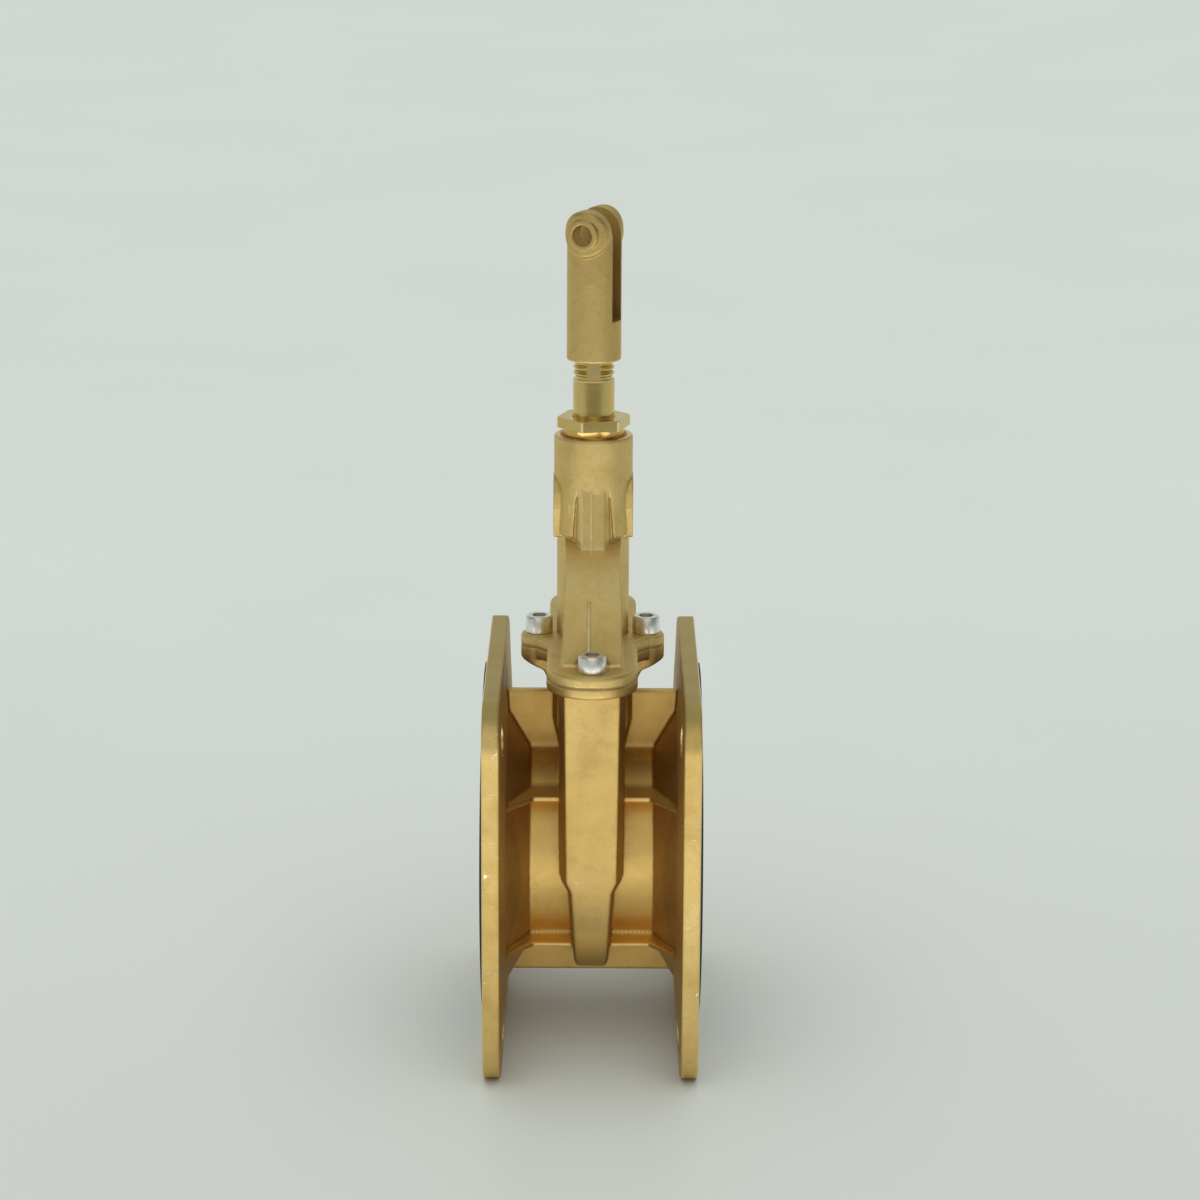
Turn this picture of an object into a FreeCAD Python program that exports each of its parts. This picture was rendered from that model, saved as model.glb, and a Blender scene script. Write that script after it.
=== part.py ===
import FreeCAD, Part
import os
import math

V = FreeCAD.Vector

# Slide gate valve, millimetres.
# Heights below are measured from the axis of the flow bore. Every piece is
# written with the origin at the middle of the footprint, on the surface the
# two flanges stand on: X along the flow, Z up the stem, -Y the side with the
# plain strip.

# ---------------------------------------------------------------- dimensions
bore_r = 50.0               # flow bore radius (4 inch size)
barrel_r = 58.5             # outside of the barrel
flange_face_x = 62.0        # outer face of each flange
flange_rim_x = 51.7         # inner face of each flange at its rim
flange_mid_x = 49.3         # inner face of each flange near the hub
flange_w = 115.0            # half width in Y
flange_h = 113.0            # half height in Z
flange_corner_r = 25.0
flange_hole_r = 9.0
flange_hole_y = 90.0
flange_hole_z = 90.0
hub_r = 80.0                # hub cone radius at the flange
hub_x0 = 36.0               # where the hub cone leaves the barrel
rib_bend_x = 33.5           # where the horizontal ribs start to flare
gasket_r = 106.0            # flange gasket outside radius
gasket_ri = 56.0
gasket_seat = 1.0           # depth of the gasket's seat in the flange
gasket_x = 63.5             # outer face of the gasket

web_t = 7.5                 # vertical webs in the plane Y = 0
web_top = 93.7
web_bottom = -80.9
rib_y = 56.0                # horizontal ribs, front edge at the barrel
rib_y_flange = 76.0         # and where they run into the flange
rib_z = ((41.9, 44.9), (-47.0, -44.4))

house_r = 75.0              # gate housing, outer half width in Y
house_x_top = 19.0          # half thickness under the top flange
house_x_mid = 17.7          # half thickness at the axis
house_x_low = 12.9          # half thickness just below the axis
house_x_bot = 9.2           # half thickness at the bottom
house_z_step = -1.0
boss_x = 22.5               # thicker middle under the side ears

parting_z = 122.0           # top of the body
gask_t = 0.5                # bonnet gasket thickness
gask_in = 0.1               # how far the gasket stands back from the flange edge
body_flange_z = 115.5       # underside of the body's top flange
bonnet_flange_z = 129.0     # top of the bonnet flange
lobe_y = 98.0
lobe_x = 26.0
ear_x = 31.0
ear_r = 11.0
screw_y = 85.0
screw_x = 31.3

pocket_r = 61.0             # gate pocket in the body, half width in Y
pocket_x = 5.2              # gate pocket half thickness
lug_slot_x = 11.6           # channel for the gate's lug
lug_slot_y = 13.6
stem_clear = 12.8           # channel round the stem below its bush

gate_r = 57.5
gate_x = 5.0
lug_x = 11.0
lug_y = 13.0
lug_z0 = 60.0
lug_z1 = 80.0

arch_z = 110.0              # centre of the bonnet's arch
arch_r = 80.0
arch_ri = 73.0
arch_x = 17.0
arch_xi = 7.5
recess_r = 34.0            # round recess for a screw head in the foot of the arch
recess_y = 75.5
column_r = 21.0
collar_r = 22.8
collar_z0 = 190.2
collar_z = 248.0
chamber_top = 190.0         # top of the lug channel in the bonnet

stem_r = 12.0
stem_run = 12.05            # radius of every part that the stem runs in
stem_z0 = 80.4
stem_z1 = 281.5
neck_r = 5.5
head_r = 8.0
head_z0 = 66.0
head_z1 = 71.5
thread_r = 11.8
thread_z = 311.0

bush_r = 15.0
bush_z = 204.0
pack_r = 17.0
gland_thread_r = 18.0
nut_z0 = 252.3
nut_z1 = 258.5
nut_af = 37.4
nut_turn = -18.3            # degrees, one corner from the -Y side

fork_r = 15.65
fork_z0 = 291.6
fork_turn = 23.0            # degrees, pin axis from -Y towards -X
eye_z = 365.4
eye_r = 13.6                # round top of the fork, about the pin's axis
eye_out_r = 17.5            # the fork's outside at the eye
ring_r = 9.0
ring_half = 18.2
pin_r = 6.0
slot_half = 6.5
slot_z = 315.0

os.makedirs("parts", exist_ok=True)


# ------------------------------------------------------------------- helpers
def box(x0, x1, y0, y1, z0, z1):
    return Part.makeBox(x1 - x0, y1 - y0, z1 - z0, V(x0, y0, z0))


def zcyl(r, z0, z1, x=0.0, y=0.0):
    return Part.makeCylinder(r, z1 - z0, V(x, y, z0), V(0, 0, 1))


def xcyl(r, x0, x1, y=0.0, z=0.0):
    return Part.makeCylinder(r, x1 - x0, V(x0, y, z), V(1, 0, 0))


def ring(ro, ri, z0, z1):
    return zcyl(ro, z0, z1).cut(zcyl(ri, z0 - 1, z1 + 1))


def xring(ro, ri, x0, x1):
    return xcyl(ro, x0, x1).cut(xcyl(ri, x0 - 1, x1 + 1))


def prism(pts, d):
    w = Part.makePolygon([V(*p) for p in pts] + [V(*pts[0])])
    return Part.Face(w).extrude(V(*d))


def rev(pts, axis):
    # turned piece, pts are (radius, height) along Z or (x, radius) along X
    if axis == "z":
        q = [V(r, 0, h) for r, h in pts]
        ax = V(0, 0, 1)
    else:
        q = [V(x, 0, r) for x, r in pts]
        ax = V(1, 0, 0)
    w = Part.makePolygon(q + [q[0]])
    return Part.Face(w).revolve(V(0, 0, 0), ax, 360)


def rrect_wire(w, h, r, x):
    # rounded rectangle in the plane X = x, half sizes w in Y and h in Z
    k = math.sqrt(0.5)
    e = []

    def ln(a, b):
        e.append(Part.makeLine(V(x, *a), V(x, *b)))

    def ar(a, m, b):
        e.append(Part.Arc(V(x, *a), V(x, *m), V(x, *b)).toShape())
    ln((-w + r, -h), (w - r, -h))
    ar((w - r, -h), (w - r + r * k, -h + r - r * k), (w, -h + r))
    ln((w, -h + r), (w, h - r))
    ar((w, h - r), (w - r + r * k, h - r + r * k), (w - r, h))
    ln((w - r, h), (-w + r, h))
    ar((-w + r, h), (-w + r - r * k, h - r + r * k), (-w, h - r))
    ln((-w, h - r), (-w, -h + r))
    ar((-w, -h + r), (-w + r - r * k, -h + r - r * k), (-w + r, -h))
    return Part.Wire(e)


def round_edges(s, r, pick):
    es = [e for e in s.Edges if pick(e)]
    if not es:
        return s
    try:
        t = s.makeFillet(r, es)
        if t.isValid() and t.Volume > 0:
            return t
    except Exception:
        pass
    return s


def one(s):
    s = s.removeSplitter()
    return s


def out(name, s):
    if s.ShapeType == "Compound" and len(s.Solids) == 1:
        s = s.Solids[0]
    s = s.copy()
    s.translate(V(0, 0, flange_h))
    s.exportStep("parts/" + name + ".step")


def ear_plan(z0, z1, d=0.0):
    # oblong top flange with two side ears, drawn in by d all round
    yc = lobe_y - lobe_x
    s = box(-lobe_x + d, lobe_x - d, -yc, yc, z0, z1)
    s = s.fuse([zcyl(lobe_x - d, z0, z1, 0, yc), zcyl(lobe_x - d, z0, z1, 0, -yc)])
    for sgn in (1, -1):
        p = prism([(sgn * 20, -30 + d, z0), (sgn * (ear_x + 2.0), -ear_r + 0.2 + d, z0),
                   (sgn * (ear_x + 2.0), ear_r - 0.2 - d, z0), (sgn * 20, 30 - d, z0)],
                  (0, 0, z1 - z0))
        s = s.fuse([p, zcyl(ear_r - d, z0, z1, sgn * ear_x, 0)])
    return one(s)


def fillet_bar(kind, v, side, r, x):
    # concave round along X where a web face (kind "web", at Y = v) or a rib
    # face (kind "rib", at Z = v) meets the barrel; side is +1 or -1
    big = barrel_r + r
    if kind == "web":
        cy = v + math.copysign(r, v)
        cz = side * math.sqrt(big * big - cy * cy)
        t1 = (v, cz)
        inner = (v - math.copysign(1.2, v), side * (math.sqrt(barrel_r ** 2 - v * v) - 1.2))
    else:
        cz = v + side * r
        sy = 1 if x > 0 else -1
        cy = sy * math.sqrt(big * big - cz * cz)
        t1 = (cy, v)
        inner = (sy * (math.sqrt(barrel_r ** 2 - v * v) - 1.2), v - side * 1.2)
    x = abs(x)
    t2 = (cy * barrel_r / big, cz * barrel_r / big)
    mx, mz = (t1[0] + t2[0]) / 2 - cy, (t1[1] + t2[1]) / 2 - cz
    k = r / math.hypot(mx, mz)
    tm = (cy + mx * k, cz + mz * k)
    w = Part.Wire([Part.Arc(V(-x, *t1), V(-x, *tm), V(-x, *t2)).toShape(),
                   Part.makeLine(V(-x, *t2), V(-x, *inner)), Part.makeLine(V(-x, *inner), V(-x, *t1))])
    return Part.Face(w).extrude(V(2 * x, 0, 0))


# ---------------------------------------------------------------- valve body
def make_body():
    parts = []
    barrel = xcyl(barrel_r, -52, 52)
    for sgn in (1, -1):
        # hub cone
        parts.append(rev([(sgn * (hub_x0 - 1), 40), (sgn * (hub_x0 - 1), barrel_r - 0.01),
                          (sgn * hub_x0, barrel_r), (sgn * (flange_mid_x - 1.0), hub_r),
                          (sgn * (flange_mid_x + 2.5), hub_r + 1.5),
                          (sgn * (flange_mid_x + 2.5), 40)], "x"))
        # flange plate with rounded inner rim and drafted inner face
        plate = Part.Face(rrect_wire(flange_w, flange_h, flange_corner_r,
                                     sgn * flange_rim_x)).extrude(V(sgn * (flange_face_x - flange_rim_x), 0, 0))
        draft = Part.makeLoft([rrect_wire(flange_w, flange_h, flange_corner_r, sgn * flange_rim_x),
                               rrect_wire(hub_r + 2, hub_r + 0, 20.0, sgn * flange_mid_x)], True, True)
        plate = one(plate.fuse(draft))
        plate = round_edges(plate, 1.6, lambda e: abs(e.CenterOfMass.x - sgn * flange_rim_x) < 0.05
                            and e.BoundBox.XLength < 0.05)
        parts.append(plate)

    # webs in the plane Y = 0
    parts.append(box(-51, 51, -web_t / 2, web_t / 2, 40, web_top))
    parts.append(box(-51, 51, -web_t / 2, web_t / 2, web_bottom, -40))
    # horizontal ribs, flaring along the hub cones
    for z0, z1 in rib_z:
        pts = [(-51, -rib_y_flange, z0), (-49, -rib_y_flange, z0), (-rib_bend_x, -rib_y, z0),
               (rib_bend_x, -rib_y, z0), (49, -rib_y_flange, z0), (51, -rib_y_flange, z0),
               (51, rib_y_flange, z0), (49, rib_y_flange, z0), (rib_bend_x, rib_y, z0),
               (-rib_bend_x, rib_y, z0), (-49, rib_y_flange, z0), (-51, rib_y_flange, z0)]
        parts.append(prism(pts, (0, 0, z1 - z0)))
        for sy in (1, -1):
            parts.append(fillet_bar("rib", z1, 1, 2.4, sy * (hub_x0 - 0.4)))
            parts.append(fillet_bar("rib", z0, -1, 2.4, sy * (hub_x0 - 0.4)))
    for sy in (1, -1):
        parts.append(fillet_bar("web", sy * web_t / 2, 1, 6.0, hub_x0 - 0.4))
        parts.append(fillet_bar("web", sy * web_t / 2, -1, 3.0, hub_x0 - 0.4))

    # gate housing, upper part
    zt = parting_z - 3.0

    def outline(w, d, e, z):
        # plan of the housing: half width w, front and back corners cut by d (X) and e (Y)
        q = [(w, house_r - e), (w - d, house_r - 0.5), (w - d - 0.6, house_r)]
        q = q + [(-x, y) for x, y in reversed(q)]
        q = q + [(x, -y) for x, y in reversed(q)]
        return Part.makePolygon([V(x, y, z) for x, y in q + q[:1]])

    up = Part.makeLoft([outline(house_x_mid, 2.9, 6.0, house_z_step), outline(house_x_top, 2.9, 6.0, zt)], True, True)
    sh = Part.makeLoft([outline(house_x_low, 2.2, 4.0, house_z_step - 8.0),
                        outline(house_x_mid, 2.9, 6.0, house_z_step)], True, True)
    up = one(up.fuse(sh))
    up = up.common(xcyl(house_r, -30, 30).fuse(box(-30, 30, -house_r - 0.5, house_r + 0.5, 0, zt + 1)))
    # lower part, half disc with drafted sides
    low = prism([(-house_x_low - 0.3, -house_r - 1, 0.0), (house_x_low + 0.3, -house_r - 1, 0.0),
                 (house_x_bot, -house_r - 1, -house_r), (house_x_bot, -house_r - 1, -house_r - 2),
                 (-house_x_bot, -house_r - 1, -house_r - 2), (-house_x_bot, -house_r - 1, -house_r)],
                (0, 2 * house_r + 2, 0))
    low = low.common(xcyl(house_r, -30, 30))
    low = round_edges(low, 3.0, lambda e: e.BoundBox.YLength > 60 and abs(e.CenterOfMass.x) > 3
                      and e.BoundBox.ZLength > 30)
    # thicker middle under the ears, narrowing downwards
    mid = prism([(-house_x_mid - 1.2, -20, 62), (-boss_x, -20, 78), (-boss_x, -20, zt),
                 (boss_x, -20, zt), (boss_x, -20, 78), (house_x_mid + 1.2, -20, 62)], (0, 40, 0))
    mid = round_edges(mid, 4.0, lambda e: abs(abs(e.CenterOfMass.y) - 20) < 0.05
                      and e.BoundBox.ZLength > 10)
    parts += [up, low, mid]

    # top flange with ears and the gussets under the ears
    top = ear_plan(body_flange_z, parting_z)
    parts.append(round_edges(top, 1.6, lambda e: abs(e.CenterOfMass.z - body_flange_z) < 0.01
                             and e.BoundBox.ZLength < 0.01 and abs(e.CenterOfMass.y) > 40))
    for sgn in (1, -1):
        g = prism([(sgn * 18, -ear_r, 94), (sgn * 22.5, -ear_r, 96), (sgn * 26.5, -ear_r, 103),
                   (sgn * 28.5, -ear_r, 108), (sgn * 42.5, -ear_r, 114.2), (sgn * 42.5, -ear_r, parting_z - 0.5),
                   (sgn * 18, -ear_r, parting_z - 0.5)], (0, 2 * ear_r, 0))
        g = g.common(zcyl(ear_r - 0.02, 90, 130, sgn * ear_x, 0)
                     .fuse(box(min(0, sgn * ear_x), max(0, sgn * ear_x), -ear_r + 0.02, ear_r - 0.02, 90, 130)))
        parts.append(g)

    body = barrel.fuse(parts)

    # hollows
    cuts = [xcyl(bore_r, -70, 70)]
    for sgn in (1, -1):
        # seat recess around the bore and gasket seat in the flange face
        a, b = sorted((sgn * (pocket_x - 0.5), sgn * 13.4))
        cuts.append(xcyl(55.0, a, b))
        a, b = sorted((sgn * (flange_face_x - gasket_seat), sgn * (flange_face_x + 5)))
        cuts.append(xring(gasket_r, gasket_ri, a, b))
        for y in (flange_hole_y, -flange_hole_y):
            for z in (flange_hole_z, -flange_hole_z):
                a, b = sorted((sgn * 40, sgn * 70))
                cuts.append(xcyl(flange_hole_r, a, b, y, z))
    pocket = box(-pocket_x, pocket_x, -pocket_r, pocket_r, 0, parting_z + 5)
    pocket = pocket.fuse(xcyl(pocket_r, -pocket_x, pocket_x))
    cuts.append(pocket)
    cuts.append(box(-lug_slot_x, lug_slot_x, -lug_slot_y, lug_slot_y, 59.5, parting_z + 5))
    cuts.append(zcyl(stem_clear, 78, parting_z + 5))
    for y in (screw_y, -screw_y):
        cuts.append(zcyl(5.0, 110, parting_z + 5, 0, y))
    for x in (screw_x, -screw_x):
        cuts.append(zcyl(5.0, 114.5, parting_z + 5, x, 0))
    body = body.cut(cuts)
    return one(body)


# ------------------------------------------------------------------- bonnet
def make_bonnet():
    z0 = parting_z + gask_t
    fl = ear_plan(z0, bonnet_flange_z)
    fl = round_edges(fl, 2.4, lambda e: abs(e.CenterOfMass.z - bonnet_flange_z) < 0.01
                     and e.BoundBox.ZLength < 0.01)
    arch = xcyl(arch_r, -arch_x - 1, arch_x + 1, 0, arch_z)
    wedge = prism([(-arch_x, -90, z0), (-arch_x, -90, bonnet_flange_z), (-arch_x + 0.9, -90, 200),
                   (arch_x - 0.9, -90, 200), (arch_x, -90, bonnet_flange_z), (arch_x, -90, z0)], (0, 180, 0))
    arch = arch.common(wedge)
    arch = round_edges(arch, 1.0, lambda e: e.BoundBox.YLength > 100 and e.BoundBox.ZLength > 40)
    # raised parting line over the arch
    line = rev([(-2.9, 60), (-2.9, arch_r), (-2.0, arch_r + 0.55), (-1.1, arch_r), (-1.1, 60)], "x")
    line.translate(V(0, 0, arch_z))
    line = line.common(box(-4, 2, -90, 90, bonnet_flange_z - 1, 163))
    parts = [arch, line, zcyl(column_r, z0, 200)]
    collar = rev([(0, collar_z0), (collar_r, collar_z0), (collar_r, collar_z - 1.2),
                  (collar_r - 0.35, collar_z - 0.35), (collar_r - 1.2, collar_z), (0, collar_z)], "z")
    for sx in (1, -1):
        # lower edge of the collar rises towards the side pads
        collar = collar.cut(prism([(sx * 11.0, -30, collar_z0 - 0.1), (sx * 20.2, -30, 191.6), (sx * 26, -30, 193.1),
                                   (sx * 26, -30, 186), (sx * 11.0, -30, 186)], (0, 60, 0)))
    parts.append(collar)
    for sgn in (1, -1):
        # front and back ribs under the collar, standing on the arch and
        # fading into the collar at the top
        sec = []
        for z, hw, ye, hf, yf, yc in ((181.0, 10.0, 21.4, 6.7, 27.9, 28.3), (221.0, 8.2, 20.4, 6.4, 21.7, 22.2)):
            q = [(-hw, 10), (-hw, ye), (-hf, yf), (-1.8, yc), (-1.0, yc + 0.45),
                 (-0.2, yc), (hf, yf), (hw, ye), (hw, 10)]
            sec.append(Part.makePolygon([V(x, sgn * y, z) for x, y in q] + [V(q[0][0], sgn * q[0][1], z)]))
        parts.append(Part.makeLoft(sec, True, True))
        # side pads with an arched top
        w = Part.Wire([Part.makeLine(V(10, -10.9, 188.6), V(10, -12.8, 206)),
                       Part.makeLine(V(10, -12.8, 206), V(10, -12.6, 213)),
                       Part.Arc(V(10, -12.6, 213), V(10, -9.0, 221.8), V(10, 0, 225)).toShape(),
                       Part.Arc(V(10, 0, 225), V(10, 9.0, 221.8), V(10, 12.6, 213)).toShape(),
                       Part.makeLine(V(10, 12.6, 213), V(10, 12.8, 206)),
                       Part.makeLine(V(10, 12.8, 206), V(10, 10.9, 188.6)),
                       Part.makeLine(V(10, 10.9, 188.6), V(10, -10.9, 188.6))])
        p = Part.Face(w).extrude(V(13.1, 0, 0))
        p = round_edges(p, 0.7, lambda e: abs(e.CenterOfMass.x - 23.1) < 0.01)
        if sgn < 0:
            p = p.mirror(V(0, 0, 0), V(1, 0, 0))
        parts.append(p)
    b = fl.fuse(parts)

    cuts = []
    # pocket for the raised gate
    pk = xcyl(arch_ri, -arch_xi, arch_xi, 0, arch_z).common(box(-50, 50, -100, 100, z0 - 1, 200))
    cuts.append(pk)
    cuts.append(box(-lug_slot_x, lug_slot_x, -lug_slot_y, lug_slot_y, z0 - 1, chamber_top))
    cuts.append(zcyl(stem_clear, z0 - 1, chamber_top))
    # stem bore, packing chamber, gland thread
    cuts.append(zcyl(bush_r, chamber_top - 5, bush_z))
    cuts.append(zcyl(pack_r, bush_z, 228.0))
    cuts.append(zcyl(gland_thread_r, 228.0, collar_z + 5))
    # mouth of the gland thread
    cuts.append(rev([(0, collar_z + 1), (0, collar_z - 2.0), (gland_thread_r - 0.2, collar_z - 2.0),
                     (gland_thread_r + 2.0, collar_z + 0.2), (gland_thread_r + 2.0, collar_z + 1)], "z"))
    for y in (screw_y, -screw_y):
        cuts.append(zcyl(5.5, z0 - 2, bonnet_flange_z + 5, 0, y))
        # round recess for the screw head, with a concave foot
        rc = recess_r
        tool = rev([(0, 0), (rc - 1.8, 0), (rc - 1.1, 0.25), (rc - 0.5, 0.7), (rc - 0.15, 1.2), (rc, 1.8),
                    (rc, 20), (0, 20)], "z")
        tool.translate(V(0, math.copysign(recess_y + rc, y), bonnet_flange_z))
        cuts.append(tool)
    for x in (screw_x, -screw_x):
        cuts.append(zcyl(5.5, z0 - 2, bonnet_flange_z + 5, x, 0))
    b = b.cut(cuts)
    # relief grooves beside the front and back ribs
    for sx in (1, -1):
        for sy in (1, -1):
            g = prism([(sx * 9.7, sy * 12, 187.0), (sx * 11.9, sy * 12, 187.0), (sx * 11.5, sy * 12, 194),
                       (sx * 10.7, sy * 12, 206), (sx * 9.5, sy * 12, 219), (sx * 8.6, sy * 12, 219)],
                      (0, sy * 16, 0))
            keep = zcyl(21.3, 150, 230)
            b = b.cut(g.cut(keep))
    return one(b)


# ---------------------------------------------------------------- gate
def make_gate():
    g = xcyl(gate_r, -gate_x, gate_x)
    g = round_edges(g, 1.0, lambda e: e.BoundBox.YLength > 80)
    neck = box(-gate_x, gate_x, -lug_y, lug_y, 40, lug_z0 + 2)
    lug = box(-lug_x, lug_x, -lug_y, lug_y, lug_z0, lug_z1)
    lug = round_edges(lug, 1.5, lambda e: e.BoundBox.ZLength > 10)
    g = g.fuse([neck, lug])
    # T-slot for the stem head, open to the back
    sx = head_r + 0.4
    cuts = [zcyl(sx, head_z0 - 0.4, head_z1 + 0.4), box(-sx, sx, 0, 20, head_z0 - 0.4, head_z1 + 0.4),
            zcyl(neck_r + 0.4, head_z1, lug_z1 + 2), box(-neck_r - 0.4, neck_r + 0.4, 0, 20, head_z1, lug_z1 + 2)]
    return one(g.cut(cuts))


# ---------------------------------------------------------------- stem
def make_stem():
    pts = [(0, head_z0), (head_r - 0.6, head_z0), (head_r, head_z0 + 0.6), (head_r, head_z1),
           (neck_r, head_z1), (neck_r, stem_z0), (stem_r - 1.0, stem_z0), (stem_r, stem_z0 + 1.0),
           (stem_r, stem_z1 - 1.2), (stem_r - 1.3, stem_z1)]
    # rounded thread form up into the fork
    z = stem_z1
    pitch = 3.3
    pts.append((stem_r - 1.3, z + 0.9))
    z += 0.9
    while z + pitch < thread_z - 1:
        pts += [(thread_r - 1.4, z), (thread_r - 0.4, z + 0.8), (thread_r, z + 1.4), (thread_r, z + 1.9),
                (thread_r - 0.4, z + 2.5), (thread_r - 1.4, z + pitch)]
        z += pitch
    pts += [(thread_r - 1.6, thread_z), (0, thread_z)]
    clean = [pts[0]]
    for p in pts[1:]:
        if math.hypot(p[0] - clean[-1][0], p[1] - clean[-1][1]) > 1e-6:
            clean.append(p)
    s = rev(clean, "z")
    # flat groove along the thread
    s = s.cut(box(-3.9, 3.9, -20, -9.9, stem_z1 - 0.1, thread_z + 1))
    return one(s)


# ---------------------------------------------------------------- fork
def make_fork():
    f = zcyl(fork_r, fork_z0, eye_z)
    f = round_edges(f, 0.8, lambda e: abs(e.CenterOfMass.z - fork_z0) < 0.01)
    p = V(0, -1, 0)
    eye = Part.makeCylinder(eye_r, 60, V(0, 30, eye_z), p).common(zcyl(eye_out_r, eye_z - 20, eye_z + 20))
    eye = round_edges(eye, 3.0, lambda e: e.BoundBox.YLength > 1.0 and e.BoundBox.ZLength > 5)
    rg = Part.makeCylinder(ring_r, 2 * ring_half, V(0, ring_half, eye_z), p)
    rg = round_edges(rg, 0.6, lambda e: abs(abs(e.CenterOfMass.y) - ring_half) < 0.01)
    f = f.common(Part.makeBox(2 * fork_r, 80, 200, V(-fork_r, -40, fork_z0)))
    # shoulders of the body round off under the eye
    shoulder = Part.makeCylinder(fork_r + 2.0, 60, V(0, 30, eye_z - 6), p)
    f = f.common(shoulder.fuse(box(-40, 40, -40, 40, fork_z0 - 1, eye_z - 6)))
    f = f.fuse([eye, rg])
    f = f.cut([Part.makeCylinder(pin_r, 80, V(0, 40, eye_z), p),
               box(-40, 40, -slot_half, slot_half, slot_z, eye_z + 40),
               zcyl(thread_r + 0.05, fork_z0 - 1, thread_z + 1.0)])
    f.rotate(V(0, 0, 0), V(0, 0, 1), -fork_turn)
    return one(f)


# ---------------------------------------------------------------- gland nut
def make_nut():
    rc = nut_af / math.sqrt(3)
    pts = []
    for k in range(6):
        a = math.radians(nut_turn + 60 * k)
        pts.append((rc * math.sin(a), -rc * math.cos(a), nut_z0))
    hx = prism(pts, (0, 0, nut_z1 - nut_z0))
    lim = rev([(0, nut_z0), (rc - 0.4, nut_z0), (rc + 0.4, nut_z0 + 0.5), (rc + 0.4, nut_z1 - 0.8),
               (rc - 1.0, nut_z1), (0, nut_z1)], "z")
    hx = hx.common(lim)
    shank = rev([(0, 229.5), (gland_thread_r - 1, 229.5), (gland_thread_r, 230.5), (gland_thread_r, 246.5),
                 (gland_thread_r - 0.3, 246.8), (gland_thread_r - 0.3, nut_z0), (0, nut_z0)], "z")
    n = hx.fuse(shank)
    cuts = [zcyl(stem_run, 220, 270),
            rev([(0, nut_z1 - 0.9), (stem_run, nut_z1 - 0.9), (stem_run + 1.0, nut_z1 + 0.1), (0, nut_z1 + 0.1)], "z"),
            ring(15.2, stem_run - 1, 238.0, 241.6)]
    return one(n.cut(cuts))


# ---------------------------------------------------------------- screws
def make_screw(x, y):
    z = bonnet_flange_z
    h = rev([(0, z), (7.6, z), (8.0, z + 0.4), (8.0, z + 8.9), (7.5, z + 9.6), (6.9, z + 10), (0, z + 10)], "z")
    sh = rev([(0, z + 1), (5.0, z + 1), (5.0, 117.3), (4.2, 116.5), (0, 116.5)], "z")
    s = h.fuse(sh)
    k = 8.0 / math.sqrt(3)
    pts = [(k * math.cos(math.radians(60 * i)), k * math.sin(math.radians(60 * i)), z + 4.8) for i in range(6)]
    s = s.cut(prism(pts, (0, 0, 10)))
    s = one(s)
    s.translate(V(x, y, 0))
    return s


out("valve_body", make_body())
out("bonnet", make_bonnet())
bg = ear_plan(parting_z, parting_z + gask_t, gask_in)
bg = bg.cut([box(-7.6, 7.6, -pocket_r - 9, pocket_r + 9, 100, 140),
             box(-lug_slot_x - 0.5, lug_slot_x + 0.5, -lug_slot_y - 0.5, lug_slot_y + 0.5, 100, 140)] +
            [zcyl(5.5, 100, 140, 0, y) for y in (screw_y, -screw_y)] +
            [zcyl(5.5, 100, 140, x, 0) for x in (screw_x, -screw_x)])
out("bonnet_gasket", one(bg))
out("bonnet_screws", Part.makeCompound([make_screw(0, -screw_y), make_screw(0, screw_y),
                                        make_screw(-screw_x, 0), make_screw(screw_x, 0)]))
out("gate", make_gate())
for side, sgn in (("left", -1), ("right", 1)):
    a, b = sorted((sgn * 5.1, sgn * 10.4))
    out(side + "_seat_ring", xring(54.95, 50.5, a, b))
    a, b = sorted((sgn * 10.4, sgn * 13.4))
    out(side + "_seat_oring", xring(54.9, 51.2, a, b))
    a, b = sorted((sgn * (flange_face_x - gasket_seat), sgn * gasket_x))
    out(side + "_flange_gasket", xring(gasket_r, gasket_ri, a, b))
# U-shaped strip that seals the gate's edge
u = box(-pocket_x, pocket_x, -pocket_r, pocket_r, 0, parting_z).fuse(xcyl(pocket_r, -pocket_x, pocket_x))
ui = box(-20, 20, -58.0, 58.0, 0, parting_z + 5).fuse(xcyl(58.0, -20, 20))
out("edge_seal", one(u.cut(ui)))
out("stem", make_stem())
out("fork", make_fork())
out("stem_bush", ring(bush_r, stem_run, chamber_top, bush_z))
out("packing_washer", ring(pack_r - 0.1, stem_run, bush_z, bush_z + 2.0))
for i, nm in enumerate(("lower", "middle", "upper")):
    z0 = bush_z + 2.0 + 5.0 * i
    out("packing_ring_" + nm, ring(pack_r, stem_run, z0, z0 + 5.0))
out("gland_follower", ring(pack_r - 0.1, stem_run, bush_z + 17.0, 229.5))
out("gland_nut", make_nut())
out("stem_oring", ring(15.1, stem_run, 238.2, 241.4))
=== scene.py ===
import math

import bpy
from mathutils import Matrix


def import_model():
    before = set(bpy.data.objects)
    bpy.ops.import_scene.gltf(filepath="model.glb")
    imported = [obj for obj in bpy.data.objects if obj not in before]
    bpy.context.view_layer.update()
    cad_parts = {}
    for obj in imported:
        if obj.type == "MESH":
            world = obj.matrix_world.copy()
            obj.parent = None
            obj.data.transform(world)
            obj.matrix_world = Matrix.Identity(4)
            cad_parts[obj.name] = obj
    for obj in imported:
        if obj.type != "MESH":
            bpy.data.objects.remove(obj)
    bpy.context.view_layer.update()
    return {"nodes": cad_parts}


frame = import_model()
nodes = frame["nodes"]

AXIS_H = 0.113      # bore axis above the floor


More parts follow.
